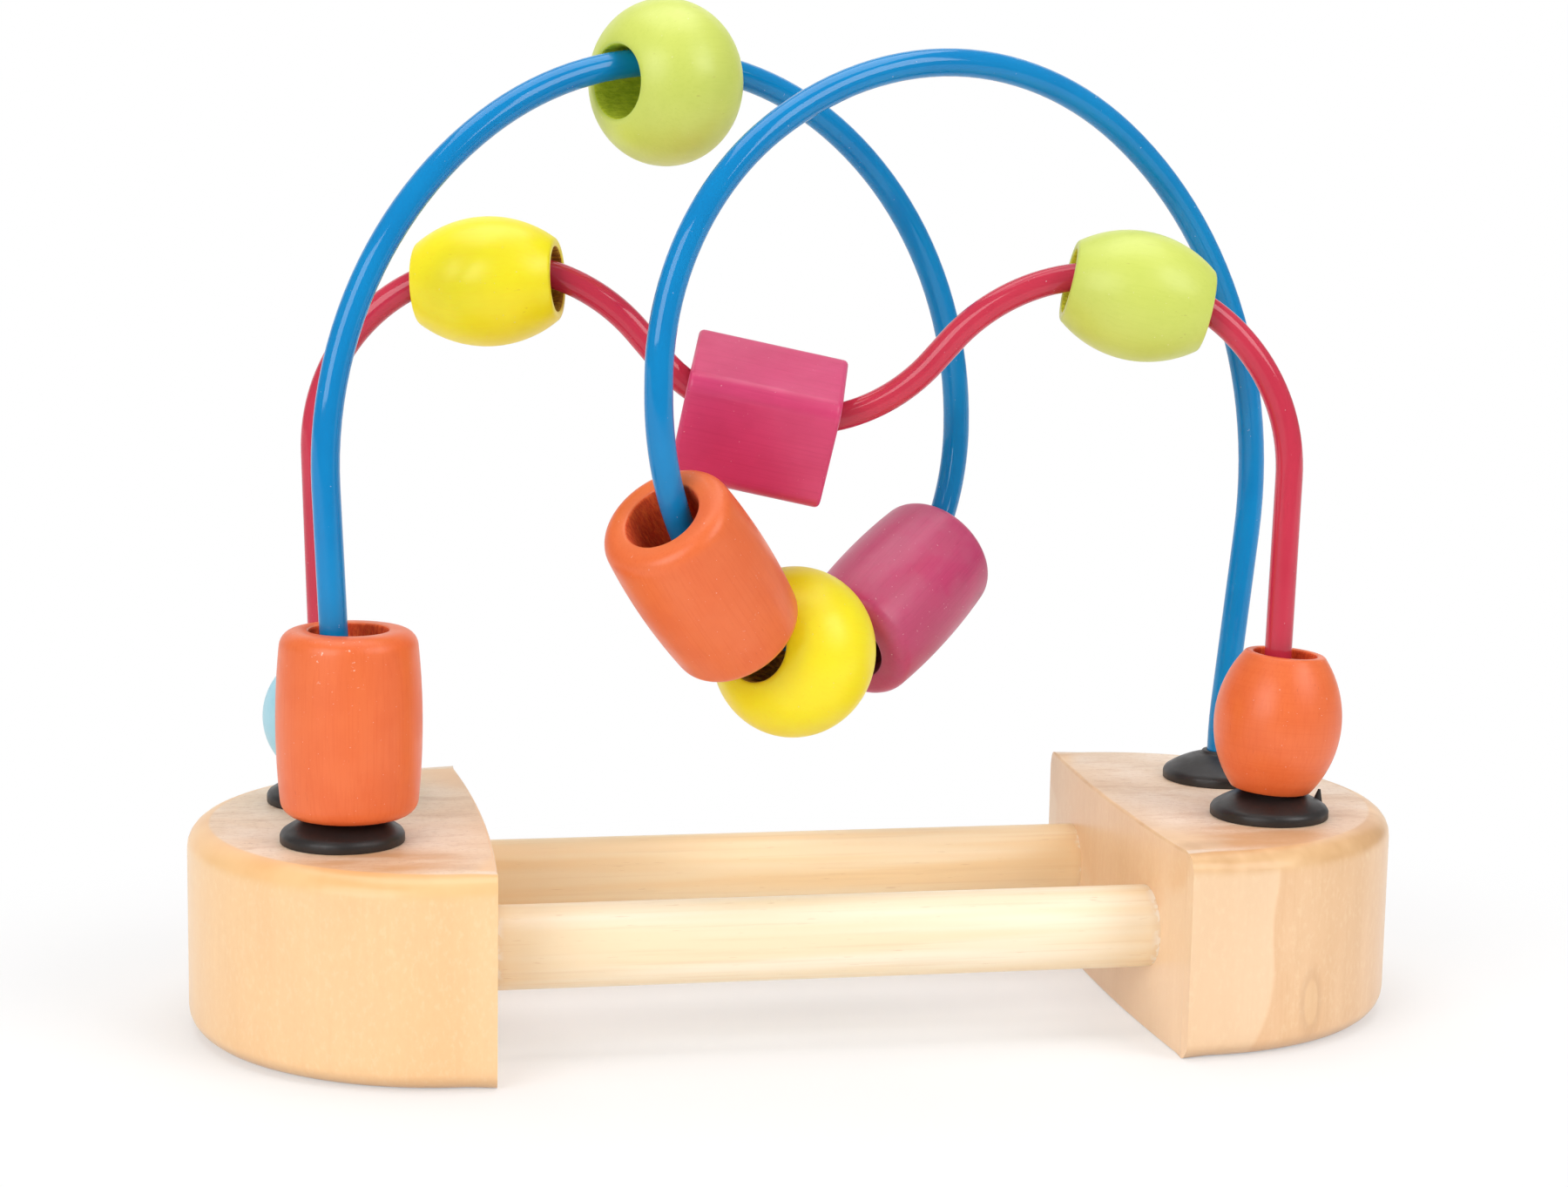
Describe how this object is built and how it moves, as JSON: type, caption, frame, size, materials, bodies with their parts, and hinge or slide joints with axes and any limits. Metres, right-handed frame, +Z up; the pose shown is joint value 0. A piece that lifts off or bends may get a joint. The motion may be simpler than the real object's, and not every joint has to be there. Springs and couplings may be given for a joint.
{
  "type": "wire bead maze",
  "caption": "Wooden baby toy: round-ended blocks joined by dowels carry bent coated wires with loops and humps, on which painted wooden beads slide and turn.",
  "frame": {"origin": "on the table, halfway between the blocks and halfway across them", "axes": "+X along the dowels to the right block, +Y to the back of the toy, +Z up"},
  "size_m": [0.18, 0.074, 0.1483],
  "materials": {
    "natural_wood": "clear satin lacquer on pale wood",
    "blue_coat": "gloss coating on steel wire",
    "red_coat": "gloss coating on steel wire",
    "black_plastic": "satin",
    "orange_paint": "satin paint",
    "pale_blue_paint": "satin paint",
    "green_paint": "satin paint",
    "yellow_paint": "satin paint",
    "magenta_paint": "satin paint"
  },
  "bodies": {
    "base": {"left_block": "natural_wood", "right_block": "natural_wood", "front_dowel": "natural_wood", "back_dowel": "natural_wood", "blue_wire": "blue_coat", "red_wire": "red_coat", "front_left_cover": "black_plastic", "back_left_cover": "black_plastic", "front_right_cover": "black_plastic", "back_right_cover": "black_plastic"},
    "orange_cylinder_body": {"orange_cylinder": "orange_paint"},
    "pale_blue_ball_body": {"pale_blue_ball": "pale_blue_paint"},
    "green_ball_body": {"green_ball": "green_paint"},
    "yellow_barrel_body": {"yellow_barrel": "yellow_paint"},
    "magenta_prism_body": {"magenta_prism": "magenta_paint"},
    "loop_orange_cylinder_body": {"loop_orange_cylinder": "orange_paint"},
    "yellow_ball_body": {"yellow_ball": "yellow_paint"},
    "loop_magenta_cylinder_body": {"loop_magenta_cylinder": "magenta_paint"},
    "green_barrel_body": {"green_barrel": "green_paint"},
    "orange_barrel_body": {"orange_barrel": "orange_paint"}
  },
  "joints": [
    {"name": "orange_cylinder_slide", "type": "slide", "parent": "base", "child": "orange_cylinder_body", "axis": [-0.0473, -0.0181, 0.9987], "range_m": [0, 0.018]},
    {"name": "pale_blue_ball_slide", "type": "slide", "parent": "base", "child": "pale_blue_ball_body", "axis": [-0.0309, 0.0058, 0.9995], "range_m": [0, 0.024]},
    {"name": "green_ball_travel", "type": "hinge", "parent": "base", "child": "green_ball_body", "pos_m": [-0.02091, 0.00519, 0.08914], "axis": [-0.357, 0.9341, 0], "range_deg": [-20, 20]},
    {"name": "yellow_barrel_travel", "type": "hinge", "parent": "base", "child": "yellow_barrel_body", "pos_m": [-0.0446, 0.00831, 0.0829], "axis": [0.1851, 0.9827, 0], "range_deg": [-50, 24]},
    {"name": "magenta_prism_travel", "type": "hinge", "parent": "base", "child": "magenta_prism_body", "pos_m": [-0.00201, 0.00028, 0.11404], "axis": [0.1851, 0.9827, 0], "range_deg": [-22, 10]},
    {"name": "loop_orange_cylinder_travel", "type": "hinge", "parent": "base", "child": "loop_orange_cylinder_body", "pos_m": [0.00258, 0.00122, 0.09441], "axis": [0.663, -0.7486, 0], "range_deg": [-20, 0]},
    {"name": "yellow_ball_spin", "type": "hinge", "parent": "base", "child": "yellow_ball_body", "pos_m": [-0.00222, -0.00303, 0.05412], "axis": [-0.7294, -0.646, 0.225], "continuous": true},
    {"name": "loop_magenta_cylinder_travel", "type": "hinge", "parent": "base", "child": "loop_magenta_cylinder_body", "pos_m": [0.00705, 0.00518, 0.08411], "axis": [0.663, -0.7486, 0], "range_deg": [0, 25]},
    {"name": "green_barrel_travel", "type": "hinge", "parent": "base", "child": "green_barrel_body", "pos_m": [0.04135, -0.00788, 0.0812], "axis": [0.1851, 0.9827, 0], "range_deg": [-30, 50]},
    {"name": "orange_barrel_slide", "type": "slide", "parent": "base", "child": "orange_barrel_body", "axis": [0.0189, -0.0036, 0.9998], "range_m": [0, 0.018]}
  ]
}
